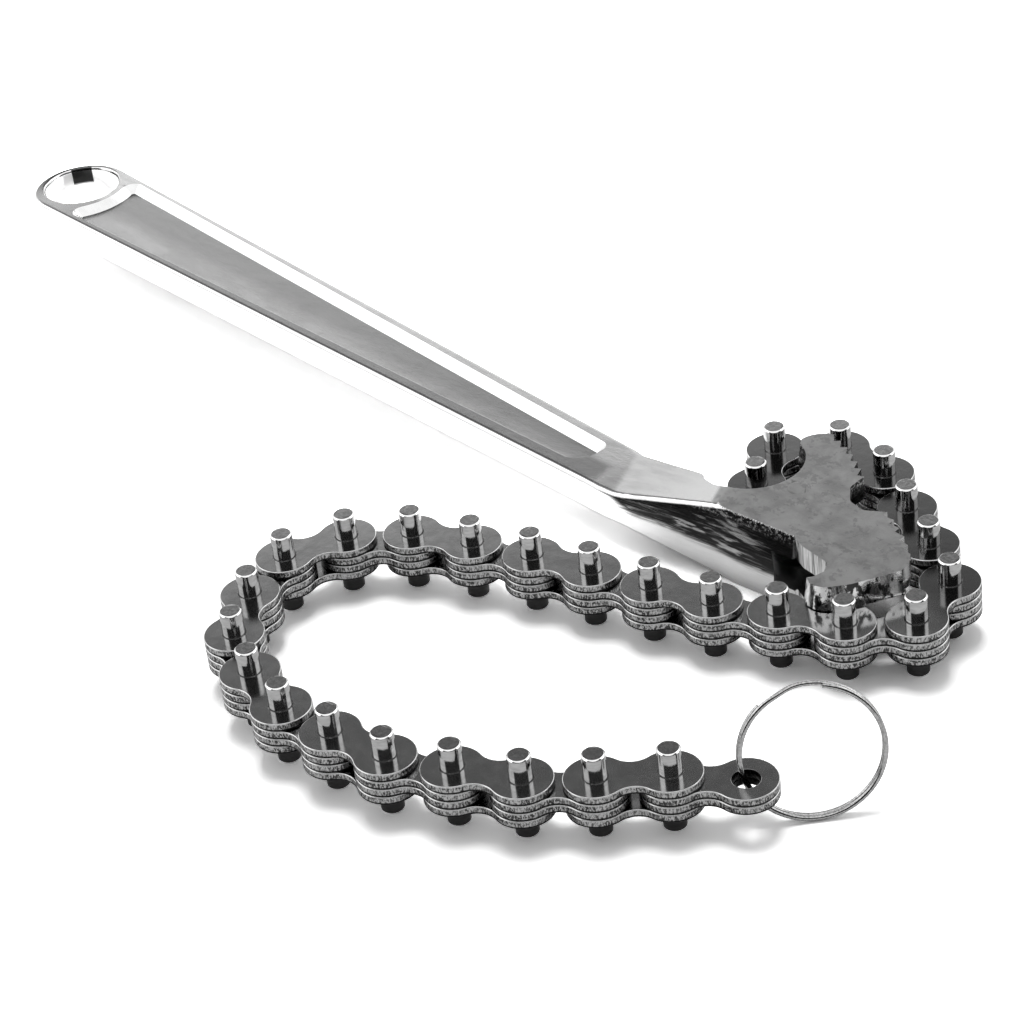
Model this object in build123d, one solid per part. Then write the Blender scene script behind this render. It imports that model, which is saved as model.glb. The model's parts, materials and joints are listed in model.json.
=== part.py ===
"""Chain pipe wrench.

A forged handle ends in a forked, toothed jaw. A leaf chain of waisted plates and long pins is held
in the jaw's slot by an anchor pin, wraps round the jaw and lies in a loop on the bench. A split ring
hangs in its last link. Everything is drawn in millimetres about the middle plane that handle, jaw and
chain share, with +X along the handle towards the jaw, and is set down on the bench at the end.
"""

import os
from math import acos, asin, atan2, cos, degrees, hypot, radians, sin, tan

from build123d import *

# Chain
pitch = 15.875
plate_thickness = 2.05
plate_gap = 0.05
lobe_gap = 1.6
waist_width = 8.6
pin_diameter = 5.3
pin_length = 21.0
pin_end_chamfer = 0.35
pin_running_clearance = 0.04
ring_hole_diameter = 6.1
outer_link_count = 14

# Split ring
ring_diameter = 31.0
wire_diameter = 1.2
ring_turn_gap = 0.06
ring_end_angle = 14.0
ring_crossover_angle = 26.0
ring_start_angle = -62.0
ring_heading = -36.7
ring_lean = 12.0
ring_hole_clearance = 0.7

# Handle, with its outline at the faces
handle_thickness = 9.0
handle_draft = 3.0
tip_centre = (-287.7, -17.7)
tip_radius = 14.2
handle_edge_round = 1.4
neck_back = (-52.0, -8.1)
neck_front = (-50.0, -25.6)
neck_bend = 20.0

# Hang hole
hang_hole_diameter = 21.8
hang_hole_round = 1.0
hang_hole_centre = (-288.7, -17.0)
hang_hole_land = 2.6

# Recess in each face of the handle
recess_depth = 2.1
recess_wall_run = 2.4
recess_end = -62.6
recess_back_corner = 2.6
recess_front_corner = 6.0
recess_tip_corner = 3.2
recess_tip_half_angle = 52.0
recess_back_flange = 3.4
recess_front_flange = 4.1
recess_tip_back_flange = 1.9
recess_tip_front_flange = 2.0

# Jaw, with its outline at the faces
jaw_thickness = 21.0
jaw_draft = 8.0
jaw_root_back = (-56.0, -9.6)
jaw_root_front = (-56.0, -24.9)
jaw_bend = (-48.0, -24.65)
jaw_shoulder = (-19.5, -18.8)
jaw_front_bend = 40.0
neck_corner = (-31.4, -9.0)
neck_corner_radius = 2.8
notch_edge = (5.8, -15.7)
lobe_end = (33.6, -9.8)
horn_end = (-21.8, 14.6)
cheek_clearance = 0.3
slot_start = (-1.0, -17.0)
slot_heading = 152.0
ramp_angle = 11.9
ramp_top = (-18.7, -15.3)
ramp_heading = 207.9
ramp_blend = 14.0
notch_corner = 2.4
throat_corner = 2.2

# Jaw teeth, with three tips on the arc of each row
lobe_tooth_row = [(30.7, -3.7), (23.2, 1.5), (15.2, 5.2)]
horn_tooth_row = [(0.9, 12.4), (-8.0, 17.8), (-17.2, 21.0)]
tooth_depth = 1.45
horn_tooth_gaps = 6
lobe_tooth_gaps = 5
steep_flank_share = 0.28

# Anchor pin
anchor_centre = (-7.5, -1.0)

# Centre line of the chain as it lies, from the anchor round the jaw and the loop to the ring hole
chain_route = [
    anchor_centre,
    (-23.2, 0.4),
    (-31.0, 14.2),
    (-19.3, 25.1),
    (-3.5, 23.8),
    (10.7, 16.4),
    (24.7, 8.8),
    (38.4, 0.8),
    (42.3, -14.6),
    (31.1, -26.0),
    (16.7, -32.6),
    (2.5, -39.6),
    (-12.5, -44.7),
    (-27.6, -49.6),
    (-42.6, -54.7),
    (-57.3, -60.7),
    (-71.6, -67.5),
    (-82.6, -79.0),
    (-87.4, -94.0),
    (-81.5, -108.8),
    (-71.3, -120.9),
    (-56.8, -127.2),
    (-41.2, -130.2),
    (-25.5, -128.5),
    (-9.9, -125.6),
    (4.3, -118.4),
    (18.3, -111.0),
    (29.9, -100.2),
    (40.4, -88.2),
    (52.2, -77.6),
]

# Worked out from the sizes above
lobe_radius = (pitch - lobe_gap) / 2
pin_radius = pin_diameter / 2
inner_offset = (plate_gap + plate_thickness) / 2
outer_offset = inner_offset + plate_thickness + plate_gap
stack_height = 4 * plate_thickness + 3 * plate_gap
slot_width = stack_height + 2 * cheek_clearance
jaw_half = jaw_thickness / 2
handle_half = handle_thickness / 2
beyond = 5 * pitch
hair = 0.01


def tangent_point(point, centre, radius, side):
    """Where a straight edge from point touches a circle, on its left (side 1) or right (side -1)."""
    away = hypot(point[0] - centre[0], point[1] - centre[1])
    heading = atan2(point[1] - centre[1], point[0] - centre[0])
    turned = heading + side * acos(radius / away)
    return (centre[0] + radius * cos(turned), centre[1] + radius * sin(turned))


def height_on_line(a, b, x):
    """Height at x of the straight line through a and b."""
    return a[1] + (b[1] - a[1]) * (x - a[0]) / (b[0] - a[0])


def corners_near(face, *points):
    """The corner of a face that lies nearest to each point."""
    return [face.vertices().sort_by_distance(point)[0] for point in points]


def both_faces(shape):
    """A shape and its mirror image in the middle plane."""
    return [shape, mirror(shape, about=Plane.XY)]


def forged_block(outline, half_thickness, draft):
    """An outline drawn at the faces, with draft on both sides of the parting plane."""
    half = extrude(Pos(0, 0, half_thickness) * outline, amount=-half_thickness, taper=-draft)
    return half + mirror(half, about=Plane.XY)


def upright_cutter(outline):
    """A cutter with upright walls through the full thickness."""
    return extrude(outline, amount=jaw_thickness, both=True)


# Handle


back_touch = tangent_point(neck_back, tip_centre, tip_radius, 1)
front_touch = tangent_point(neck_front, tip_centre, tip_radius, -1)


def handle_outline():
    """Plan of the handle: a round tip and two straight edges that bend into the jaw."""
    tip_end = (tip_centre[0] - tip_radius, tip_centre[1])
    inside_jaw = (-38.0, -16.0)
    edges = [
        Line(neck_back, back_touch),
        ThreePointArc(back_touch, tip_end, front_touch),
        Line(front_touch, neck_front),
        Line(neck_front, inside_jaw),
        Line(inside_jaw, neck_back),
    ]
    face = make_face(Wire(edges))
    return fillet(corners_near(face, neck_back, neck_front), neck_bend)


def recess_outline():
    """Plan of a recess at the handle's face, its tip end concentric with the hang hole."""
    end_radius = hang_hole_diameter / 2 + hang_hole_land
    tip_x = hang_hole_centre[0] + end_radius * cos(radians(recess_tip_half_angle))
    back_tip = (tip_x, height_on_line(back_touch, neck_back, tip_x) - recess_tip_back_flange)
    front_tip = (tip_x, height_on_line(front_touch, neck_front, tip_x) + recess_tip_front_flange)
    back_end = (recess_end, height_on_line(back_touch, neck_back, recess_end) - recess_back_flange)
    front_end = (recess_end, height_on_line(front_touch, neck_front, recess_end) + recess_front_flange)
    tip_middle = (hang_hole_centre[0] + end_radius, hang_hole_centre[1])
    edges = [
        Line(back_tip, back_end),
        Line(back_end, front_end),
        Line(front_end, front_tip),
        ThreePointArc(front_tip, tip_middle, back_tip),
    ]
    face = make_face(Wire(edges))
    corners = {
        back_end: recess_back_corner,
        front_end: recess_front_corner,
        back_tip: recess_tip_corner,
        front_tip: recess_tip_corner,
    }
    for corner, radius in corners.items():
        face = fillet(corners_near(face, corner), radius)
    return face


def recess_cutter():
    """A shallow pocket with sloping walls."""
    slope = degrees(atan2(recess_wall_run, recess_depth))
    return extrude(Pos(0, 0, handle_half) * recess_outline(), amount=-recess_depth, taper=slope)


def handle_block():
    """The handle's forging, with rounded edges, recessed faces and its hang hole."""
    block = forged_block(handle_outline(), handle_half, handle_draft)
    faces = block.faces().filter_by(Axis.Z)
    block = fillet([edge for face in faces for edge in face.edges()], handle_edge_round)
    block -= Pos(*hang_hole_centre, 0) * Cylinder(hang_hole_diameter / 2, 2 * handle_thickness)
    rims = block.edges().filter_by(lambda edge: edge.is_closed and edge.geom_type == GeomType.CIRCLE)
    block = fillet(rims, hang_hole_round)
    return block - both_faces(recess_cutter())


# Jaw


def jaw_outline():
    """Plan of the jaw's forging, with stock left where notch and teeth are cut."""
    nose_front = (19.0, -25.2)
    nose_back = (26.0, -24.5)
    horn_top = (-14.0, 23.4)
    hollow_front = (-20.6, 13.0)
    hollow_back = (-25.0, -12.1)
    horn_tip = horn_tooth_row[2]
    pieces = [
        Polyline(jaw_root_front, jaw_bend, jaw_shoulder, notch_edge, nose_front),
        ThreePointArc(nose_front, (22.8, -26.5), nose_back),
        Polyline(nose_back, (28.6, -21.0), (34.6, -7.6), (36.0, 2.0), (0.0, 24.0), horn_top),
        Line(horn_top, horn_tip),
        ThreePointArc(horn_tip, (-20.5, 18.5), horn_end),
        Line(horn_end, hollow_front),
        ThreePointArc(hollow_front, (-11.9, 0.8), hollow_back),
        Polyline(hollow_back, (-27.4, -11.6), neck_corner, jaw_root_back, jaw_root_front),
    ]
    face = make_face(Wire([edge for piece in pieces for edge in piece.edges()]))
    face = fillet(corners_near(face, jaw_bend, jaw_shoulder), jaw_front_bend)
    return fillet(corners_near(face, neck_corner), neck_corner_radius)


def tooth_row(row, gaps, steep_first):
    """Saw teeth whose tips lie on an arc: tip, root, tip and so on along the row."""
    tips = ThreePointArc(*row)
    points = []
    for i in range(gaps):
        tip = tips @ (i / gaps)
        next_tip = tips @ ((i + 1) / gaps)
        along = next_tip - tip
        inward = Vector(-along.Y, along.X).normalized() * tooth_depth
        share = steep_flank_share if steep_first else 1 - steep_flank_share
        points += [tip, tip + along * share + inward]
    return points + [tips @ 1]


def tooth_cutter():
    """All that lies outside the ground lobe end, the two rows of teeth and the throat between them."""
    lobe_teeth = tooth_row(lobe_tooth_row, lobe_tooth_gaps, False)
    horn_teeth = tooth_row(horn_tooth_row, horn_tooth_gaps, True)
    throat = [Vector(10.4, 2.1), Vector(5.6, 2.9), Vector(1.5, 7.2)]
    outline = [Vector(*lobe_end), Vector(32.9, -6.4), *lobe_teeth, *throat, *horn_teeth]
    outline += [Vector(horn_tooth_row[2][0], beyond), Vector(beyond, beyond), Vector(beyond, lobe_end[1])]
    face = make_face(Polyline(*outline, close=True))
    return upright_cutter(fillet(corners_near(face, *throat), throat_corner))


def notch_cutter():
    """The ground notch in front of the lobe, which the chain's pins hook into."""
    inner = (18.8, -18.3)
    outline = [notch_edge, (10.0, -17.4), inner, (20.7, -21.2), (20.2, -24.2), (18.0, -28.0), (5.8, -28.0)]
    face = make_face(Polyline(*outline, close=True))
    return upright_cutter(fillet(corners_near(face, inner), notch_corner))


def slot_cutter():
    """The slot between the cheeks, open all round the lobe, the throat, the horn and the hollow."""
    along = Vector(cos(radians(slot_heading)), sin(radians(slot_heading)))
    start = Vector(*slot_start)
    near = start - along * 6
    far = start + along * 30
    outline = [far, near, (near.X, -beyond), (beyond, -beyond), (beyond, beyond), (far.X, beyond)]
    return extrude(make_face(Polyline(*outline, close=True)), amount=slot_width / 2, both=True)


def ramp_cutter():
    """Clears the top of the neck: flat at the handle's face, then a blended ramp up to the jaw's face."""
    run = (jaw_half - handle_half) / tan(radians(ramp_angle))
    heading = radians(ramp_heading)
    down_ramp = (cos(heading), sin(heading), 0)
    across = (sin(heading), -cos(heading), 0)
    section = Plane(origin=(*ramp_top, 0), x_dir=down_ramp, z_dir=across)
    top = jaw_half + 5
    outline = [(0, jaw_half), (run, handle_half), (beyond, handle_half), (beyond, top), (0, top)]
    face = make_face(Polyline(*outline, close=True))
    face = fillet(corners_near(face, (run, handle_half)), ramp_blend)
    return extrude(section * face, amount=beyond, both=True)


def jaw_block():
    """The jaw's forging with its ramps, whose long edges are rounded like the handle's."""
    block = forged_block(jaw_outline(), jaw_half, jaw_draft)
    block -= both_faces(ramp_cutter())

    def beside_ramp(edge):
        middle = edge.center()
        size = edge.bounding_box().size
        lengthwise = size.X > max(size.Y, size.Z)
        on_ramp = jaw_root_front[0] < middle.X < ramp_top[0] and abs(middle.Z) > handle_half - hair
        before_hollow = middle.Y < jaw_shoulder[1] or middle.X < neck_corner[0]
        return lengthwise and on_ramp and before_hollow

    return fillet(block.edges().filter_by(beside_ramp), handle_edge_round)


def wrench_body():
    """Handle, neck and forked jaw in one forging."""
    jaw = jaw_block() - [tooth_cutter(), notch_cutter(), slot_cutter()]
    body = handle_block() + jaw
    return body - Pos(*anchor_centre, 0) * Cylinder(pin_radius, 2 * jaw_thickness)


# Chain


def plate_outline(length):
    """Two round lobes joined by a waist, every arc tangent to the next."""
    half = length / 2
    waist = waist_width / 2
    waist_radius = (half**2 + waist**2 - lobe_radius**2) / (2 * (lobe_radius - waist))
    reach = lobe_radius / (lobe_radius + waist_radius)
    join_x = half * reach
    join_y = (waist_radius + waist) * reach
    edges = [
        ThreePointArc((join_x, join_y), (-lobe_radius, 0), (join_x, -join_y)),
        ThreePointArc((join_x, -join_y), (half, -waist), (length - join_x, -join_y)),
        ThreePointArc((length - join_x, -join_y), (length + lobe_radius, 0), (length - join_x, join_y)),
        ThreePointArc((length - join_x, join_y), (half, waist), (join_x, join_y)),
    ]
    return make_face(Wire(edges))


def plate(first_hole, second_hole):
    """One link plate, lying on its lower face with its first hole at the origin."""
    face = plate_outline(pitch)
    face -= [Circle(first_hole), Pos(pitch, 0) * Circle(second_hole)]
    return extrude(face, amount=plate_thickness)


def plate_pair(offset, first_hole, second_hole):
    """Two equal plates at the same distance above and below the middle plane."""
    upper = Pos(0, 0, offset - plate_thickness / 2) * plate(first_hole, second_hole)
    return both_faces(upper)


def link_pin(length):
    """A plain pin with chamfered ends, standing on the middle plane."""
    pin = Cylinder(pin_radius, length)
    return chamfer(pin.edges().filter_by(GeomType.CIRCLE), pin_end_chamfer)


def chain_joints():
    """Pin centres: each one a pitch further along the chain's route than the one before."""
    route = Spline(*chain_route)
    length = route.length
    end = route @ 1
    beyond_end = route % 1

    def point_at(run):
        return route.position_at(run / length) if run <= length else end + beyond_end * (run - length)

    run = 0.0
    joints = [point_at(run)]
    while len(joints) < 2 * outer_link_count + 2:
        low = run
        high = run + 2 * pitch
        for _ in range(30):
            run = (low + high) / 2
            if (point_at(run) - joints[-1]).length < pitch:
                low = run
            else:
                high = run
        joints.append(point_at(run))
    return joints


def link_location(start, end):
    """Puts a link drawn along +X between two joints."""
    turn = degrees(atan2(end.Y - start.Y, end.X - start.X))
    return Pos(start.X, start.Y, 0) * Rot(0, 0, turn)


def chain_parts(joints):
    """Every link's plates and pins, from the anchor to the ring, under their names."""
    running_hole = pin_radius + pin_running_clearance
    inner = plate_pair(inner_offset, running_hole, running_hole)
    last = plate_pair(inner_offset, running_hole, ring_hole_diameter / 2)
    outer = plate_pair(outer_offset, pin_radius, pin_radius)
    pins = [link_pin(pin_length), Pos(pitch, 0, 0) * link_pin(pin_length)]
    named = {}
    for i in range(len(joints) - 1):
        at = link_location(joints[i], joints[i + 1])
        number = (i + 1) // 2
        if i == 0:
            named["anchor_link_plates"] = [at * p for p in inner]
        elif i == len(joints) - 2:
            named["ring_link_plates"] = [at * p for p in last]
        elif i % 2:
            named[f"outer_link_{number:02d}_plates"] = [at * p for p in outer]
            named[f"outer_link_{number:02d}_pins"] = [at * p for p in pins]
        else:
            named[f"inner_link_{number:02d}_plates"] = [at * p for p in inner]
    return named


# Split ring


def split_ring(hole):
    """Two turns of round wire side by side, standing on the bench and leaning in the last link's hole."""
    radius = ring_diameter / 2
    spacing = wire_diameter + ring_turn_gap
    lean = radians(ring_lean)

    def turn(level, start, end):
        section = Plane.XZ * Pos(radius, level) * Circle(wire_diameter / 2)
        return Rot(0, 0, start) * revolve(section, Axis.Z, end - start)

    cross_start = ring_start_angle + 360 - ring_crossover_angle
    leave = CenterArc((0, 0, -spacing / 2), radius, cross_start, 1)
    arrive = CenterArc((0, 0, spacing / 2), radius, ring_start_angle, 1)
    jump = Spline(leave @ 0, arrive @ 0, tangents=[leave % 0, arrive % 0])
    section = Plane(origin=leave @ 0, z_dir=leave % 0) * Circle(wire_diameter / 2)
    coil = turn(-spacing / 2, ring_start_angle + ring_end_angle, cross_start)
    coil += turn(spacing / 2, ring_start_angle, cross_start - ring_end_angle)
    coil += sweep(section, path=jump)

    # Height at which the lower edge of both turns touches the bench
    floor = -max(jaw_half, pin_length / 2)
    centre_z = floor + radius * cos(lean) + spacing / 2 * sin(lean) + wire_diameter / 2
    below = asin(centre_z / (radius * cos(lean)))
    heading = radians(ring_heading)
    normal = Vector(cos(heading), sin(heading), 0)
    level = Vector(-sin(heading), cos(heading), 0)
    aside = ring_hole_diameter / 2 - (wire_diameter + spacing) / 2 - ring_hole_clearance
    drop = radius * sin(below) * sin(lean)
    centre = hole + level * (radius * cos(below)) - normal * (aside + drop)
    up = Vector(-sin(lean) * normal.X, -sin(lean) * normal.Y, cos(lean))
    axis = Vector(cos(lean) * normal.X, cos(lean) * normal.Y, sin(lean))
    place = Plane(origin=(centre.X, centre.Y, centre_z), x_dir=-level, z_dir=axis)
    return place.location * coil


# Assembly


def wrench_parts():
    """Every named sub-part where it lies, still drawn about the middle plane."""
    joints = chain_joints()
    named = {"wrench_body": [wrench_body()]}
    named["anchor_pin"] = [Pos(*anchor_centre, 0) * Cylinder(pin_radius, jaw_thickness)]
    named.update(chain_parts(joints))
    named["split_ring"] = [split_ring(joints[-1])]
    return named


def set_down(named):
    """Moves the origin to the middle of the whole wrench's footprint on the bench."""
    box = Compound(children=[Compound(children=list(solids)) for solids in named.values()]).bounding_box()
    middle = box.center()
    shift = Pos(-middle.X, -middle.Y, -box.min.Z)
    return {name: Compound(children=[shift * solid for solid in solids]) for name, solids in named.items()}


os.makedirs("parts", exist_ok=True)
for node, shape in set_down(wrench_parts()).items():
    export_step(shape, f"parts/{node}.step")
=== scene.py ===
"""Looks of the chain pipe wrench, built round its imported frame.

Lengths are metres, except where a name ends in MM, a parameter ends in _mm or a comment says so.
"""

import json
import random
from math import cos, pi, radians, sin

import bmesh
import bpy
from mathutils import Matrix, Vector

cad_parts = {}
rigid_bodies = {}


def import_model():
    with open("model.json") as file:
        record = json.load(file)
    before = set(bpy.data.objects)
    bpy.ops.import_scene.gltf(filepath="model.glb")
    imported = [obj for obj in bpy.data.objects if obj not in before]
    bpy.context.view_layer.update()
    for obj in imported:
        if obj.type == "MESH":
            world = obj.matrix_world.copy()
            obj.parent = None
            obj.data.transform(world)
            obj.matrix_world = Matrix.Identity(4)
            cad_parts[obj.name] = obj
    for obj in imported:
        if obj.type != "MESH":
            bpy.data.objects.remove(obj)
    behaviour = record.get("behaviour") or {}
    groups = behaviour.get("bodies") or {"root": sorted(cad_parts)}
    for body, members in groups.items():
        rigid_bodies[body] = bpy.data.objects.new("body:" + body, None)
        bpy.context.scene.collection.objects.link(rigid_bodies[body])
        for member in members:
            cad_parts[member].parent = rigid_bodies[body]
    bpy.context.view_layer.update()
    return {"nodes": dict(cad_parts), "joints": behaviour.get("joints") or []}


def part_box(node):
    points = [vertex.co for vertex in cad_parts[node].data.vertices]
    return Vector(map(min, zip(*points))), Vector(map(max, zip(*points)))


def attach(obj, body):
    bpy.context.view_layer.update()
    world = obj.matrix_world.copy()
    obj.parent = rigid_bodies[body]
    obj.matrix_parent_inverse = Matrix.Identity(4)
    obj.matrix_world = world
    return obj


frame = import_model()

MM = 0.001

# Camera, as found from the pins' tops in the photograph
CAMERA_PLACE = Vector((0.53764, -0.35397, 0.41523))
CAMERA_RIGHT = Vector((0.64964, 0.75312, -0.10375))
CAMERA_DOWN = Vector((0.36552, -0.42909, -0.82600))
CAMERA_NEAR = 0.01
CAMERA_FAR = 50.0
SENSOR_MM = 36.0
FOCAL_MM = 106.28

# Lamp
LAMP_PLACE = (-0.12, 0.15, 1.2)
LAMP_SIZE = 0.5
LAMP_POWER = 7.6

# Floor: its grey for light, then for the camera and for metal, each in general and paler beside
# the handle, where the paler grey is painted light that weakens the handle's shadow
FLOOR_HALF = 6.0
FLOOR_FADE = (0.7, 2.5)
FLOOR_COLOUR = 0.93
FLOOR_SEEN = (1.9, 3.2)
FLOOR_MIRRORED = (0.74, 1.6)
# Where the painted light on the floor beside the handle lies
PALE_FLOOR_X = (0.085, 0.060)
PALE_FLOOR_SLOPE = 0.3
PALE_FLOOR_LEVEL = (-0.030, -0.016)

# Room: heights are directions, with 1 straight up, and spreads are cosines to a heading
CEILING_HEADING = (-0.80, 0.60, 0.0)
CEILING_SPREAD = (0.55, 0.75)
CEILING_HEIGHTS = (0.50, 0.57, 0.84, 0.90)
CEILING = 0.16
UNLIT_HEADING = (0.835, -0.55, 0.0)
UNLIT_SPREAD = (0.28, 0.42)
UNLIT_HEIGHTS = (0.67, 0.74)
UNLIT = 0.03
BANK_HEIGHTS = (0.30, 0.42, 0.68, 0.76)
BANK = 1.6
FILL = 0.58
FILL_UNLIT = 0.3

# Frame sizes that the materials and small pieces follow
BODY_TOP_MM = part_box("wrench_body")[1].z / MM
PLATE_LOW_MM, PLATE_HIGH_MM = (corner.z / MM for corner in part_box("outer_link_05_plates"))
LAYER_MM = (PLATE_HIGH_MM - PLATE_LOW_MM) / 4
MIDDLE_MM = sum(corner.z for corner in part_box("outer_link_05_pins")) / 2 / MM
PIN_RADIUS = (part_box("anchor_pin")[1].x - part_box("anchor_pin")[0].x) / 2
RING_JOINT = next(joint for joint in frame["joints"] if joint["name"] == "ring_swing")

# Places on the model where a finish changes, in mm. HALF is measured from the middle plane, BEHIND
# from the handle's middle line, DEPTH from the top and REACH from an upright line. FLANK_FOOT,
# FLANK_FOOT_DROP and FLANK_BROW give two places along x and the heights there
JAW_FACE_HALF = (10.0, 10.3)
RECESS_HALF = (2.75, 2.5)
HANDLE_MIDDLE = ((-172.0, 34.5), (54.0, 36.2))
# Painted shade in the recess runs between these distances behind the middle line
RECESS_PALE_BEHIND = (2.5, -6.0)
SMOKY_BEHIND = (0.5, -2.5)
SMOKY_X = (-172.0, -150.0)
TIP_X = (-174.0, -186.0)
NECK_X = (63.0, 69.0)
NECK_WANDER = 8.0
RAMP_X = (74.0, 92.0)
FLANK_START = (65.0, 68.0)
FLANK_END = (122.4, 121.6)
FLANK_FOOT = (65.0, 76.0, 15.0, 10.6)
FLANK_FOOT_DROP = (80.0, 112.0, 0.0, 3.0)
FLANK_BROW = (65.0, 82.0, 15.0, 21.5)
FLANK_WANDER = 4.0
# Depth below the top within which the flank gets painted glints
FLANK_GLINT_DEPTH = (3.5, 0.5)
GROUND_START = (121.9, 122.9)
ROUGH_SIDE_Y = (45.0, 43.0)
NOTCH_WALL = (127.0, 34.8)
NOTCH_WALL_REACH = (7.0, 7.6)
# Where the painted dark reflection in the hang hole stands, and how far it reaches
HOLE_DARK_REFLECTION = (-181.7, 41.5)
HOLE_DARK_REFLECTION_REACH = (2.9, 3.3)
RING_HOLE = [v / MM for v in RING_JOINT["pos_m"][:2]]
# How far the painted shade in the ring's hole reaches
RING_HOLE_SHADE_REACH = (3.6, 4.2)
DARK_PLATES_Y = (32.0, 50.0)

# How far away a crevice's walls may be for the painted shade in the chain's gaps, in mm
CREVICE_REACH = 4.0

# Greys of the finishes, from 0 black to 1 white, in pairs where a finish runs between two
JAW_GREYS = (0.28, 0.38)
JAW_ISLANDS = 0.23
JAW_SPECKS = 0.15
ANCHOR_GREYS = (0.28, 0.36)
RECESS_GREYS = (0.31, 0.47)
RECESS_STAINS = 0.25
RECESS_GRAIN = 0.23
SATIN_GREYS = (0.60, 0.53)
SMOKY_GREY = 0.28
TIP_GREY = 0.10
NECK_GREYS = (0.50, 0.42)
RAMP_GREY = 0.55
WALL_GREYS = (0.97, 0.90)
SCALE_GREYS = (0.03, 0.34)
SCALE_STREAKS = 0.70
SCALE_PAINTED_GLINTS = 0.85
SIDE_LUMPS = 0.05
NOTCH_SCRATCHES = 0.30
# Grey of the painted dark reflection in the hang hole
HOLE_DARK_REFLECTION_GREY = 0.03
PLATE_GREYS = (0.38, 0.46)
DARK_PLATES = 0.18
TORN_GREYS = (0.14, 0.58)
TORN_PATCHES = 0.05
# Light top band of the plate edges: a burnish with a painted highlight
BURNISH_AND_HIGHLIGHT_GREY = 0.95
# Grey of the painted shade in the chain's gaps and the ring's hole
CHAIN_SHADE_GREY = 0.015
PIN_END_GREYS = (0.24, 0.35)
PIN_SIDE_GREYS = (0.62, 0.46)
# Grey of the painted shade on the pins between and below the plates
PIN_SHADE_GREY = 0.06
# Grey of the painted highlight on the pins' rims
PIN_RIM_HIGHLIGHT_GREY = 0.95
WIRE_GREYS = (0.62, 0.36)
# Greys of the pin lips, dark as painted shade of the groove round each pin
LIP_SHADE_GREYS = (0.10, 0.30)
BURR_GREYS = (0.85, 0.40)

# Roughness of the finishes
WALL_ROUGH = 0.12
SATIN_ROUGH = 0.26
JAW_ROUGH = 0.36
PLATE_EDGE_ROUGH = 0.30
PLATE_FACE_ROUGH = 0.14
PIN_SIDE_ROUGH = 0.09
PIN_END_ROUGH = 0.2
WIRE_ROUGH = 0.08
LIP_ROUGH = 0.22
BURR_ROUGH = 0.18

# The part of a noise's range over which most finishes change
SOFT = (0.35, 0.7)

# Broken edges, in mm
PLATE_EDGE_MM = 0.28
PIN_EDGE_MM = 0.20
BODY_EDGE_MM = 0.25
FINE_EDGE_MM = 0.05
EDGE_ANGLE = radians(30)
WELD_REACH = 1e-6

# Rim of a top face: how level and how near the top its facets are, and the digits of a corner
FACET_LEVEL = 0.999
FACET_REACH = 0.01 * MM
CORNER_DIGITS = 7

# Small pieces: the lip's profile is a list of distances from the pin and heights, in mm
LIP_SEGMENTS = 40
LIP_PROFILE = [
    (0.0, -0.1), (0.0, 0.02), (0.06, 0.03), (0.12, 0.06), (0.18, 0.06), (0.23, 0.03), (0.25, -0.1),
]
BURR_SEED = 7
BURR_X_MM = (96.0, 122.5)
BURR_Y_MM = 40.0
BURR_STEP_MM = 0.55
BURR_SIZE_MM = (0.14, 0.26)
BURR_SPOT = (0.2, 0.8)
BURR_SWAY_MM = 0.1
BURR_SINK = 0.35
BURR_STRETCH = (0.7, 1.3)


# Node helpers


def add(tree, kind, inputs=None, **settings):
    """A new node, with its settings, and with its inputs linked or set."""
    node = tree.nodes.new(kind)
    for key, value in settings.items():
        setattr(node, key, value)
    for key, value in (inputs or {}).items():
        socket = node.inputs[key]
        if isinstance(value, bpy.types.NodeSocket):
            tree.links.new(value, socket)
        else:
            socket.default_value = value
    return node


def calc(tree, operation, a, b=0.0):
    """One step of arithmetic."""
    return add(tree, "ShaderNodeMath", {0: a, 1: b}, operation=operation).outputs[0]


def times(tree, first, *others):
    """The product of several numbers."""
    for other in others:
        first = calc(tree, "MULTIPLY", first, other)
    return first


def rest_of(tree, share):
    """What a share leaves of 1."""
    return calc(tree, "SUBTRACT", 1.0, share)


def size_of(tree, value):
    """A number without its sign."""
    return calc(tree, "ABSOLUTE", value)


def vector_step(tree, operation, a, b=(0.0, 0.0, 0.0)):
    """One step of vector arithmetic, as a node."""
    return add(tree, "ShaderNodeVectorMath", {0: a, 1: b}, operation=operation)


def rise(tree, value, low, high, bottom=0.0, top=1.0):
    """Goes smoothly from bottom to top as value goes from low to high."""
    inputs = {"Value": value, "From Min": low, "From Max": high, "To Min": bottom, "To Max": top}
    return add(tree, "ShaderNodeMapRange", inputs, interpolation_type="SMOOTHSTEP").outputs[0]


def blend(tree, share, a, b):
    """Colour a, going over to colour b as share goes from 0 to 1. A bare number is a grey."""
    a, b = ((v, v, v, 1.0) if isinstance(v, (int, float)) else v for v in (a, b))
    return add(tree, "ShaderNodeMix", {0: share, 6: a, 7: b}, data_type="RGBA").outputs[2]


def mixed(tree, share, a, b):
    """Number a, going over to number b as share goes from 0 to 1."""
    return add(tree, "ShaderNodeMix", {0: share, 2: a, 3: b}, data_type="FLOAT").outputs[0]


def noise(tree, place, size_mm, detail=2.0, rough=0.5, stretch=(1, 1, 1), twist=0.0):
    """Cloudy noise with lumps of about size_mm, longer along an axis with a stretch over 1."""
    scaled = vector_step(tree, "MULTIPLY", place, [1 / (size_mm * s) for s in stretch])
    inputs = {
        "Vector": scaled.outputs[0], "Scale": 1.0,
        "Detail": detail, "Roughness": rough, "Distortion": twist,
    }
    return add(tree, "ShaderNodeTexNoise", inputs).outputs[0]


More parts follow.
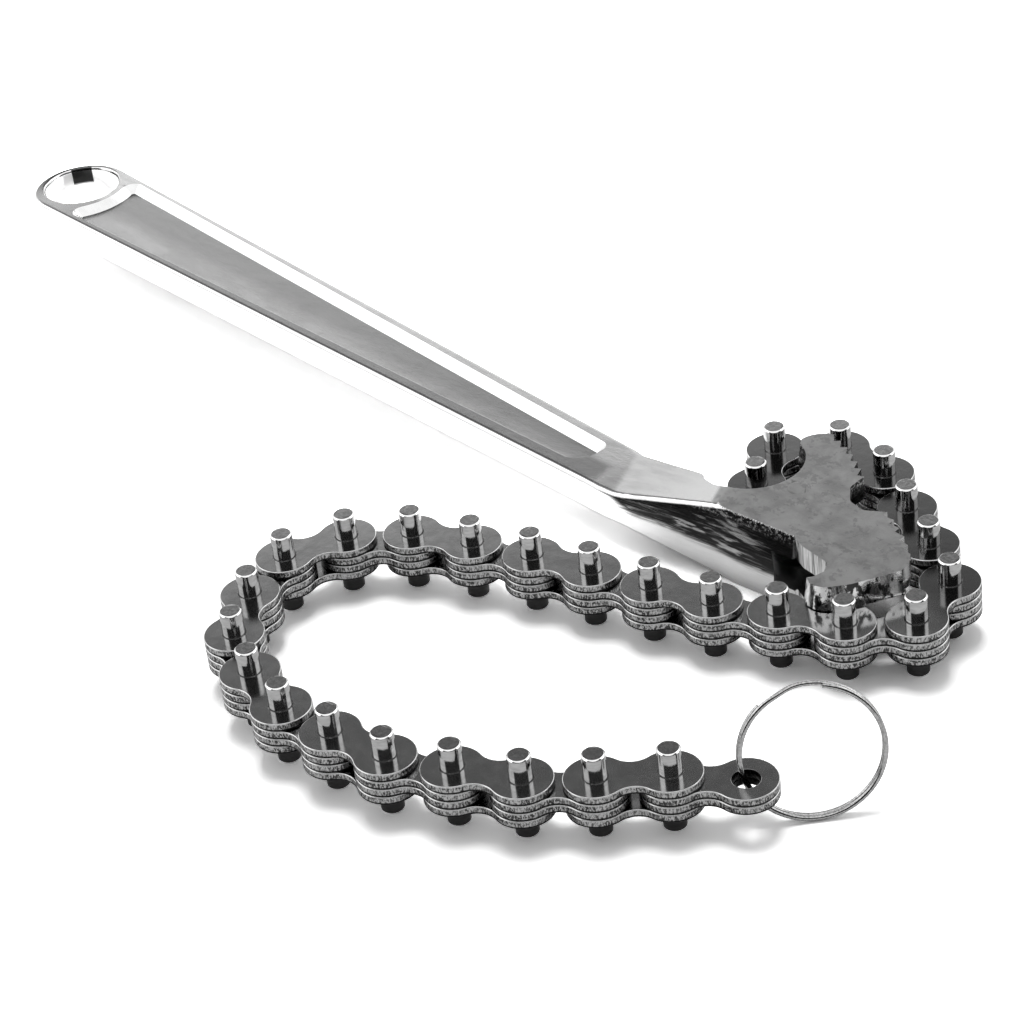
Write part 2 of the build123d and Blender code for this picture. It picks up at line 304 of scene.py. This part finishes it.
def bump(tree, height, height_mm, strength=1.0, under=None):
    """Bump of a given height, on top of another one where under is given."""
    inputs = {"Height": height, "Distance": height_mm * MM, "Strength": strength}
    if under is not None:
        inputs["Normal"] = under
    return add(tree, "ShaderNodeBump", inputs).outputs[0]


def flat_share(tree, facing):
    """1 on faces that look up or down, 0 on walls."""
    return rise(tree, size_of(tree, facing["Z"]), 0.8, 0.94)


def crevice(tree, reach_mm, low, high):
    """1 where the surroundings leave little of the sky open, 0 where they leave much."""
    node = add(tree, "ShaderNodeAmbientOcclusion", {"Distance": reach_mm * MM}, samples=6)
    return rise(tree, node.outputs["AO"], high, low)


def behind_line(tree, axes, line):
    """How far a place lies behind a straight line across the plan, in mm."""
    (x_a, y_a), (x_b, y_b) = line
    slope = (y_b - y_a) / (x_b - x_a)
    inputs = {0: axes["X"], 1: slope, 2: y_a - slope * x_a}
    level = add(tree, "ShaderNodeMath", inputs, operation="MULTIPLY_ADD").outputs[0]
    return calc(tree, "SUBTRACT", axes["Y"], level)


def near_post(tree, place, point, reach):
    """1 close to an upright line through a point (x, y), 0 away from it."""
    level = vector_step(tree, "MULTIPLY", place, (1, 1, 0)).outputs[0]
    away = vector_step(tree, "DISTANCE", level, (*point, 0)).outputs["Value"]
    return rise(tree, away, *reach, 1.0, 0.0)


# Materials


def start_material(name):
    """An empty material, with the place in mm and the normal in the frame of the model at rest."""
    material = bpy.data.materials.new(name)
    material.use_nodes = True
    tree = material.node_tree
    tree.nodes.clear()
    coordinates = add(tree, "ShaderNodeTexCoord").outputs
    place = vector_step(tree, "MULTIPLY", coordinates["Object"], (1 / MM,) * 3).outputs[0]
    axes = add(tree, "ShaderNodeSeparateXYZ", {0: place}).outputs
    facing = add(tree, "ShaderNodeSeparateXYZ", {0: coordinates["Normal"]}).outputs
    return material, tree, place, axes, facing


def end_metal(tree, colour, roughness, normal):
    """Closes a material with one metal shader."""
    sockets = {"Base Color": colour, "Roughness": roughness, "Normal": normal, "Metallic": 1.0}
    shader = add(tree, "ShaderNodeBsdfPrincipled", sockets)
    add(tree, "ShaderNodeOutputMaterial", {0: shader.outputs[0]})


def jaw_patina(tree, cloud, island, speck):
    """Mottled grey of the jaw's ground faces."""
    patina = blend(tree, rise(tree, cloud, 0.35, 0.65), *JAW_GREYS)
    patina = blend(tree, rise(tree, island, 0.56, 0.585, 0.0, 0.6), patina, JAW_ISLANDS)
    return blend(tree, rise(tree, speck, 0.64, 0.8, 0.0, 0.4), patina, JAW_SPECKS)


def recess_floor(tree, place, behind):
    """Recess floor with a fine pebble grain and soft stains, and painted shade that makes it darker
    at the back than at the front.
    """
    grain = noise(tree, place, 0.3, detail=2.0)
    stain = noise(tree, place, 9.0, detail=3.0, rough=0.6, stretch=(2.5, 1, 1))
    # Painted shade: the recess floor is darker towards the back wall
    recess = blend(tree, rise(tree, behind, *RECESS_PALE_BEHIND), *RECESS_GREYS)
    recess = blend(tree, rise(tree, stain, *SOFT, 0.0, 0.35), recess, RECESS_STAINS)
    return blend(tree, rise(tree, grain, 0.4, 0.75, 0.0, 0.35), recess, RECESS_GRAIN)


def satin_faces(tree, axes, behind, cloud, satin):
    """Satin faces of handle and neck, smoky along the front flange and at the tip's end."""
    x = axes["X"]
    face = blend(tree, rise(tree, satin, *SOFT), *SATIN_GREYS)
    wandering = calc(tree, "ADD", x, times(tree, cloud, NECK_WANDER))
    neck_share = rise(tree, wandering, *NECK_X)
    smoky = times(tree, rise(tree, behind, *SMOKY_BEHIND), rest_of(tree, neck_share))
    smoky = times(tree, smoky, rise(tree, x, *SMOKY_X, 0.6, 1.0))
    tip_smoke = rise(tree, x, *TIP_X)
    face = blend(tree, calc(tree, "MAXIMUM", smoky, tip_smoke), face, SMOKY_GREY)
    face = blend(tree, tip_smoke, face, TIP_GREY)
    neck = blend(tree, rise(tree, satin, *SOFT), *NECK_GREYS)
    face = blend(tree, neck_share, face, neck)
    return blend(tree, rise(tree, x, *RAMP_X), face, RAMP_GREY)


def flank_scale(tree, place, axes, facing, speck, streak):
    """Streaky dark scale on the jaw's front flank with painted glints near its top, and the share
    of it, which has a ragged rim.
    """
    x, z = axes["X"], axes["Z"]
    broad = noise(tree, place, 2.4, detail=3.0, rough=0.6, stretch=(6, 4, 1))
    scale = blend(tree, rise(tree, streak, 0.52, 0.80), *SCALE_GREYS)
    scale = blend(tree, rise(tree, broad, 0.58, 0.68, 0.0, 0.8), scale, SCALE_STREAKS)
    # Painted glints: light specks near the top of the flank
    near_top = rise(tree, z, *(BODY_TOP_MM - depth for depth in FLANK_GLINT_DEPTH))
    glint = times(tree, near_top, rise(tree, speck, 0.52, 0.60))
    scale = blend(tree, glint, scale, SCALE_PAINTED_GLINTS)

    sway = times(tree, calc(tree, "SUBTRACT", streak, 0.5), FLANK_WANDER)
    rim = calc(tree, "ADD", z, sway)
    foot = rise(tree, x, *FLANK_FOOT)
    foot = calc(tree, "SUBTRACT", foot, rise(tree, x, *FLANK_FOOT_DROP))
    above = rise(tree, calc(tree, "SUBTRACT", rim, foot), -1.2, 1.4)
    below = rise(tree, calc(tree, "SUBTRACT", rim, rise(tree, x, *FLANK_BROW)), 0.5, -0.5)
    along = times(tree, rise(tree, x, *FLANK_START), rise(tree, x, *FLANK_END))
    upright = rise(tree, size_of(tree, facing["Z"]), 0.45, 0.2)
    share = times(tree, times(tree, along, upright), times(tree, above, below))
    return scale, share


def plating_material():
    """Plating over the forging: bright walls, satin faces, a grainy recess and a ground jaw."""
    material, tree, place, axes, facing = start_material("plated forging")
    flat = flat_share(tree, facing)
    wall = rest_of(tree, flat)
    half = size_of(tree, calc(tree, "SUBTRACT", axes["Z"], MIDDLE_MM))
    on_jaw = times(tree, rise(tree, half, *JAW_FACE_HALF), flat)
    in_recess = times(tree, rise(tree, half, *RECESS_HALF), flat)
    behind = behind_line(tree, axes, HANDLE_MIDDLE)
    cloud = noise(tree, place, 7.0, detail=5.0, rough=0.62, twist=0.4)
    island = noise(tree, place, 3.2, detail=4.0, rough=0.7)
    speck = noise(tree, place, 0.7, detail=3.0, rough=0.6)
    satin = noise(tree, place, 2.5, detail=4.0, rough=0.65, stretch=(6, 1, 1))
    streak = noise(tree, place, 0.5, detail=4.0, rough=0.6, stretch=(16, 9, 1))
    scale, on_flank = flank_scale(tree, place, axes, facing, speck, streak)

    # Walls past the flank: lumpy and dark, with upright grinding marks in the notch
    bright = blend(tree, rise(tree, satin, *SOFT), *WALL_GREYS)
    past_flank = rise(tree, axes["X"], *GROUND_START)
    in_notch = near_post(tree, place, NOTCH_WALL, NOTCH_WALL_REACH)
    lumps = noise(tree, place, 2.0, detail=4.0, rough=0.65, stretch=(1, 1, 1.6))
    rough_side = times(tree, past_flank, rest_of(tree, in_notch))
    rough_side = times(tree, rough_side, rise(tree, axes["Y"], *ROUGH_SIDE_Y))
    rough_side = times(tree, rough_side, rise(tree, lumps, 0.50, 0.56))
    bright = blend(tree, rough_side, bright, SIDE_LUMPS)
    grind = noise(tree, place, 0.5, detail=3.0, rough=0.7, stretch=(1, 1, 30))
    ground = times(tree, in_notch, wall, past_flank)
    scratches = times(tree, ground, rise(tree, grind, 0.42, 0.60))
    bright = blend(tree, scratches, bright, NOTCH_SCRATCHES)

    # Painted dark reflection on the upper half of the walls at the tip's far side, the hang hole's
    # and the outer
    dark_reflection = near_post(tree, place, HOLE_DARK_REFLECTION, HOLE_DARK_REFLECTION_REACH)
    dark_reflection = times(tree, dark_reflection, rise(tree, axes["Z"], MIDDLE_MM - 1.0, MIDDLE_MM))
    bright = blend(tree, times(tree, dark_reflection, wall), bright, HOLE_DARK_REFLECTION_GREY)

    colour = blend(tree, on_flank, bright, scale)
    colour = blend(tree, flat, colour, satin_faces(tree, axes, behind, cloud, satin))
    colour = blend(tree, in_recess, colour, recess_floor(tree, place, behind))
    colour = blend(tree, on_jaw, colour, jaw_patina(tree, cloud, island, speck))

    wave = noise(tree, place, 5.0, detail=3.0, rough=0.55, stretch=(2, 1, 1))
    pebble = noise(tree, place, 0.5, detail=3.0, rough=0.6)
    normal = bump(tree, wave, 0.12, 0.6)
    normal = bump(tree, streak, 0.10, on_flank, normal)
    normal = bump(tree, grind, 0.02, ground, normal)
    normal = bump(tree, pebble, 0.02, 1.0, normal)
    roughness = mixed(tree, flat, WALL_ROUGH, SATIN_ROUGH)
    end_metal(tree, colour, mixed(tree, on_jaw, roughness, JAW_ROUGH), normal)
    return material


def anchor_material():
    """The anchor pin's ends, ground flush with the jaw and mottled like it."""
    material, tree, place, *_ = start_material("anchor pin")
    cloud = noise(tree, place, 7.0, detail=5.0, rough=0.62, twist=0.4)
    island = noise(tree, place, 3.2, detail=4.0, rough=0.7)
    patina = blend(tree, rise(tree, cloud, 0.35, 0.65), *ANCHOR_GREYS)
    patina = blend(tree, rise(tree, island, 0.6, 0.63, 0.0, 0.55), patina, JAW_ISLANDS)
    end_metal(tree, patina, JAW_ROUGH, bump(tree, island, 0.02))
    return material


def chain_plate_material():
    """Glossy dark plate faces; edges with burnish and a painted highlight above, torn in the
    middle, with painted shade in the gaps and the ring's hole.
    """
    material, tree, place, axes, facing = start_material("chain plate")
    flat = flat_share(tree, facing)
    cloud = noise(tree, place, 4.0, detail=4.0, rough=0.6)
    face = blend(tree, rise(tree, cloud, *SOFT), *PLATE_GREYS)
    face = blend(tree, rise(tree, axes["Y"], *DARK_PLATES_Y), face, DARK_PLATES)

    # Level is 0 at the lower face of each plate in the pile and 1 at its upper face
    above_pile = calc(tree, "SUBTRACT", axes["Z"], PLATE_LOW_MM)
    level = calc(tree, "FRACT", calc(tree, "DIVIDE", above_pile, LAYER_MM))
    # Partly real burnish and partly a painted highlight: the top band of each plate's edge is made
    # light
    burnish_and_highlight = rise(tree, level, 0.82, 0.90)
    torn = noise(tree, place, 0.42, detail=3.0, rough=0.7, stretch=(1, 1, 2.2))
    patch = noise(tree, place, 4.5, detail=2.0, rough=0.5, stretch=(1, 1, 0.6))
    edge = blend(tree, rise(tree, torn, 0.42, 0.57), *TORN_GREYS)
    in_patch = times(tree, rise(tree, patch, 0.45, 0.53), rise(tree, torn, 0.56, 0.46))
    edge = blend(tree, times(tree, in_patch, 0.9), edge, TORN_PATCHES)
    edge = blend(tree, times(tree, burnish_and_highlight, 0.9), edge, BURNISH_AND_HIGHLIGHT_GREY)
    # Painted shade: black low on each plate's edge, in tight crevices and in the ring's hole
    tight = crevice(tree, CREVICE_REACH, 0.20, 0.34)
    painted_shade = calc(tree, "MAXIMUM", rise(tree, level, 0.32, 0.22), tight)
    painted_shade = calc(tree, "MAXIMUM", painted_shade, near_post(tree, place, RING_HOLE, RING_HOLE_SHADE_REACH))
    edge = blend(tree, painted_shade, edge, CHAIN_SHADE_GREY)

    torn_share = rest_of(tree, calc(tree, "MAXIMUM", flat, burnish_and_highlight))
    normal = bump(tree, torn, 0.08, torn_share)
    normal = bump(tree, cloud, 0.02, 0.6, normal)
    roughness = mixed(tree, flat, PLATE_EDGE_ROUGH, PLATE_FACE_ROUGH)
    end_metal(tree, blend(tree, flat, edge, face), roughness, normal)
    return material


def chain_pin_material():
    """Bright turned pins, with a painted highlight on the rim, mottled ends and painted shade
    between and below the plates.
    """
    material, tree, place, axes, facing = start_material("chain pin")
    flat = flat_share(tree, facing)
    mottle = noise(tree, place, 0.8, detail=4.0, rough=0.65)
    end = blend(tree, rise(tree, mottle, *SOFT), *PIN_END_GREYS)
    turned = noise(tree, place, 0.6, detail=3.0, rough=0.6, stretch=(4, 4, 1))
    side = blend(tree, rise(tree, turned, 0.35, 0.75), *PIN_SIDE_GREYS)
    # Painted shade: the pin's side is dark between and below the plates
    inside = rise(tree, axes["Z"], PLATE_HIGH_MM, PLATE_HIGH_MM - 0.5, 0.0, 0.88)
    side = blend(tree, inside, side, PIN_SHADE_GREY)
    # Painted highlight: the rounded rim of each pin's end is made near white
    rim = rise(tree, size_of(tree, facing["Z"]), 0.2, 0.4)
    colour = blend(tree, flat, blend(tree, rim, side, PIN_RIM_HIGHLIGHT_GREY), end)
    roughness = mixed(tree, flat, PIN_SIDE_ROUGH, PIN_END_ROUGH)
    end_metal(tree, colour, roughness, bump(tree, mottle, 0.012))
    return material


def speckled_material(name, size_mm, detail, span, greys, roughness, height_mm):
    """Plain metal whose grey and height follow one fine noise."""
    material, tree, place, *_ = start_material(name)
    fine = noise(tree, place, size_mm, detail=detail, rough=0.6)
    colour = blend(tree, rise(tree, fine, *span), *greys)
    end_metal(tree, colour, roughness, bump(tree, fine, height_mm))
    return material


# Small pieces that ride on the frame


def new_piece(name, bm, material, body):
    """A piece with its finish, which rides on a body of the frame."""
    mesh = bpy.data.meshes.new(name)
    bm.to_mesh(mesh)
    bm.free()
    mesh.materials.append(material)
    piece = bpy.data.objects.new(name, mesh)
    bpy.context.scene.collection.objects.link(piece)
    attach(piece, body)


def turned_ring(bm, centre, profile, side):
    """Adds a closed ring, turned about an upright axis from a profile of radii and heights."""
    rows = []
    for i in range(LIP_SEGMENTS):
        angle = 2 * pi * i / LIP_SEGMENTS
        outward = Vector((cos(angle), sin(angle), 0.0))
        row = []
        for radius, height in profile:
            row.append(bm.verts.new(centre + outward * radius + Vector((0, 0, side * height))))
        rows.append(row)
    for i, row in enumerate(rows):
        after = rows[(i + 1) % LIP_SEGMENTS]
        for j in range(len(profile)):
            k = (j + 1) % len(profile)
            corners = [row[j], after[j], after[k], row[k]]
            face = bm.faces.new(corners if side < 0 else corners[::-1])
            face.smooth = True


def add_pin_collars(material):
    """The lip that each pin raised round its hole when it was pressed in, above and below."""
    profile = [(PIN_RADIUS + out * MM, up * MM) for out, up in LIP_PROFILE]
    collars = {}
    for joint in frame["joints"]:
        for body in (joint["parent"], joint["child"]):
            if body.startswith("outer_link"):
                collars.setdefault(body, []).append(Vector(joint["pos_m"]))
    for body, centres in sorted(collars.items()):
        low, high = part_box(body + "_plates")
        bm = bmesh.new()
        for centre in centres:
            turned_ring(bm, Vector((centre.x, centre.y, high.z)), profile, 1)
            turned_ring(bm, Vector((centre.x, centre.y, low.z)), profile, -1)
        new_piece(body + "_pin_collars", bm, material, body)


def top_rim(node, inside):
    """Corners along the rim of a node's top face, by rising x, where inside says so."""
    mesh = frame["nodes"][node].data
    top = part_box(node)[1].z
    uses = {}
    for polygon in mesh.polygons:
        if polygon.normal.z > FACET_LEVEL and abs(polygon.center.z - top) < FACET_REACH:
            points = [mesh.vertices[i].co for i in polygon.vertices]
            corners = [tuple(round(v, CORNER_DIGITS) for v in point) for point in points]
            for pair in zip(corners, corners[1:] + corners[:1]):
                uses[frozenset(pair)] = uses.get(frozenset(pair), 0) + 1
    single = (pair for pair, count in uses.items() if count == 1)
    rim = {corner for pair in single for corner in pair if inside(corner)}
    return [Vector(corner) for corner in sorted(rim)]


def on_front_edge(corner):
    """Whether a corner is on the jaw's front edge, between the ramp and the notch."""
    return BURR_X_MM[0] < corner[0] / MM < BURR_X_MM[1] and corner[1] / MM < BURR_Y_MM


def add_edge_burr(material):
    """Beads of metal along the jaw's front edge, left where its face was ground."""
    draw = random.Random(BURR_SEED)
    rim = top_rim("wrench_body", on_front_edge)
    bm = bmesh.new()
    for a, b in zip(rim, rim[1:]):
        count = max(1, round((b - a).length / MM / BURR_STEP_MM))
        for i in range(count):
            share = (i + draw.uniform(*BURR_SPOT)) / count
            size = draw.uniform(*BURR_SIZE_MM) * MM
            sway = draw.uniform(-BURR_SWAY_MM, BURR_SWAY_MM) * MM
            place = a.lerp(b, share) + Vector((0, sway, -size * BURR_SINK))
            spot = Matrix.Translation(place)
            bead = bmesh.ops.create_icosphere(bm, subdivisions=1, radius=size, matrix=spot)
            for vertex in bead["verts"]:
                away = vertex.co - place
                away.x *= draw.uniform(*BURR_STRETCH)
                vertex.co = place + away
    new_piece("jaw_edge_burr", bm, material, "wrench")


# Dressing of the frame's own nodes


def dress(node, material, edge_mm):
    """Gives a node its material, joins its facets, breaks its sharp edges and evens its shading."""
    thing = frame["nodes"][node]
    thing.data.materials.clear()
    thing.data.materials.append(material)
    weld = thing.modifiers.new("join facets", "WELD")
    weld.merge_threshold = WELD_REACH
    edge = thing.modifiers.new("broken edges", "BEVEL")
    edge.width = edge_mm * MM
    edge.segments = 2
    edge.limit_method = "ANGLE"
    edge.angle_limit = EDGE_ANGLE
    edge.face_strength_mode = "FSTR_ALL"
    shading = thing.modifiers.new("even shading", "WEIGHTED_NORMAL")
    shading.mode = "FACE_AREA"
    shading.weight = 100
    shading.use_face_influence = True


def dress_frame():
    """Gives every node of the frame its finish."""
    plates = chain_plate_material()
    pins = chain_pin_material()
    for node in frame["nodes"]:
        if node.endswith("_plates"):
            dress(node, plates, PLATE_EDGE_MM)
        elif node.endswith("_pins"):
            dress(node, pins, PIN_EDGE_MM)
    dress("wrench_body", plating_material(), BODY_EDGE_MM)
    dress("anchor_pin", anchor_material(), FINE_EDGE_MM)
    wire = speckled_material("ring wire", 0.5, 3.0, SOFT, WIRE_GREYS, WIRE_ROUGH, 0.01)
    dress("split_ring", wire, FINE_EDGE_MM)


def add_small_pieces():
    """The lips round the pins and the beads on the jaw's edge."""
    # The lip's dark grey is painted shade, standing for the groove round each pin
    lip = speckled_material("pin collar", 0.5, 2.0, (0.5, 0.7), LIP_SHADE_GREYS, LIP_ROUGH, 0.02)
    burr = speckled_material("raised burr", 0.25, 2.0, (0.35, 0.65), BURR_GREYS, BURR_ROUGH, 0.02)
    add_pin_collars(lip)
    add_edge_burr(burr)


# Room, lamp and camera


def seen_share(tree):
    """1 for what the camera, metal and glass see, 0 for the light that falls on things."""
    rays = add(tree, "ShaderNodeLightPath").outputs
    seen = calc(tree, "MAXIMUM", rays["Is Camera Ray"], rays["Is Glossy Ray"])
    return calc(tree, "MAXIMUM", seen, rays["Is Transmission Ray"])


def camera_share(tree):
    """1 for what the camera sees, 0 for all else."""
    return add(tree, "ShaderNodeLightPath").outputs["Is Camera Ray"]


def make_floor():
    """A pale floor that keeps the shadows but for painted light beside the handle, and fades to
    plain white far away.
    """
    mesh = bpy.data.meshes.new("floor")
    signs = ((-1, -1), (1, -1), (1, 1), (-1, 1))
    corners = [(x * FLOOR_HALF, y * FLOOR_HALF, 0.0) for x, y in signs]
    mesh.from_pydata(corners, [], [(0, 1, 2, 3)])
    floor = bpy.data.objects.new("floor", mesh)
    bpy.context.scene.collection.objects.link(floor)
    material = bpy.data.materials.new("floor")
    material.use_nodes = True
    tree = material.node_tree
    tree.nodes.clear()
    place = add(tree, "ShaderNodeTexCoord").outputs["Object"]
    far = rise(tree, vector_step(tree, "LENGTH", place).outputs["Value"], *FLOOR_FADE)
    axes = add(tree, "ShaderNodeSeparateXYZ", {0: place}).outputs
    # Painted light: the floor beside the handle is paler as seen, which weakens the handle's shadow
    # there
    level = calc(tree, "SUBTRACT", axes["Y"], times(tree, axes["X"], PALE_FLOOR_SLOPE))
    pale = rise(tree, axes["X"], *PALE_FLOOR_X)
    pale = times(tree, pale, rise(tree, level, *PALE_FLOOR_LEVEL))
    colour = blend(tree, seen_share(tree), FLOOR_COLOUR, blend(tree, pale, *FLOOR_MIRRORED))
    colour = blend(tree, camera_share(tree), colour, blend(tree, pale, *FLOOR_SEEN))
    paper = add(tree, "ShaderNodeBsdfDiffuse", {"Color": colour})
    glow = add(tree, "ShaderNodeEmission", {"Color": (1, 1, 1, 1), "Strength": 1.0})
    surfaces = {0: far, 1: paper.outputs[0], 2: glow.outputs[0]}
    surface = add(tree, "ShaderNodeMixShader", surfaces)
    add(tree, "ShaderNodeOutputMaterial", {0: surface.outputs[0]})
    mesh.materials.append(material)


def height_band(tree, height, heights):
    """1 between the two middle heights, 0 outside the two outer ones."""
    low_start, low_end, high_start, high_end = heights
    up = rise(tree, height, low_start, low_end)
    return times(tree, up, rise(tree, height, high_start, high_end, 1.0, 0.0))


def make_world():
    """A white room with a bright band, a darker patch of ceiling, an unlit side and a soft fill."""
    world = bpy.data.worlds.new("studio")
    bpy.context.scene.world = world
    world.use_nodes = True
    tree = world.node_tree
    tree.nodes.clear()
    direction = add(tree, "ShaderNodeTexCoord").outputs["Generated"]
    height = add(tree, "ShaderNodeSeparateXYZ", {0: direction}).outputs["Z"]
    level = vector_step(tree, "MULTIPLY", direction, (1, 1, 0)).outputs[0]
    heading = vector_step(tree, "NORMALIZE", level).outputs[0]

    def towards(way, spread):
        cosine = vector_step(tree, "DOT_PRODUCT", heading, way).outputs["Value"]
        return rise(tree, cosine, *spread)

    unlit = towards(UNLIT_HEADING, UNLIT_SPREAD)
    behind = towards(CEILING_HEADING, CEILING_SPREAD)
    dark_patch = times(tree, behind, height_band(tree, height, CEILING_HEIGHTS))
    unlit_side = times(tree, unlit, rise(tree, height, *UNLIT_HEIGHTS, 1.0, 0.0))
    room = blend(tree, height_band(tree, height, BANK_HEIGHTS), 1.0, BANK)
    room = blend(tree, dark_patch, room, CEILING)
    room = blend(tree, unlit_side, room, UNLIT)
    room = blend(tree, camera_share(tree), room, 1.0)
    fill = blend(tree, unlit, FILL, FILL_UNLIT)
    colour = blend(tree, seen_share(tree), fill, room)
    background = add(tree, "ShaderNodeBackground", {"Color": colour, "Strength": 1.0})
    add(tree, "ShaderNodeOutputWorld", {0: background.outputs[0]})


def make_lamp():
    """A square soft box that looks at the middle of the wrench. Metal doesn't mirror it."""
    lamp = bpy.data.lights.new("overhead", "AREA")
    lamp.shape = "SQUARE"
    lamp.size = LAMP_SIZE
    lamp.energy = LAMP_POWER
    thing = bpy.data.objects.new("overhead", lamp)
    thing.location = LAMP_PLACE
    thing.rotation_euler = (-Vector(LAMP_PLACE)).to_track_quat("-Z", "Y").to_euler()
    thing.visible_glossy = False
    bpy.context.scene.collection.objects.link(thing)


def make_camera():
    """The photograph's own viewpoint."""
    data = bpy.data.cameras.new("camera")
    data.sensor_width = SENSOR_MM
    data.lens = FOCAL_MM
    data.clip_start = CAMERA_NEAR
    data.clip_end = CAMERA_FAR
    camera = bpy.data.objects.new("camera", data)
    bpy.context.scene.collection.objects.link(camera)
    back = CAMERA_RIGHT.cross(-CAMERA_DOWN)
    turn = Matrix((CAMERA_RIGHT, -CAMERA_DOWN, back)).transposed().to_4x4()
    camera.matrix_world = Matrix.Translation(CAMERA_PLACE) @ turn
    bpy.context.scene.camera = camera


make_camera()
make_floor()
make_world()
make_lamp()
bpy.context.scene.view_settings.view_transform = "Standard"
dress_frame()
add_small_pieces()
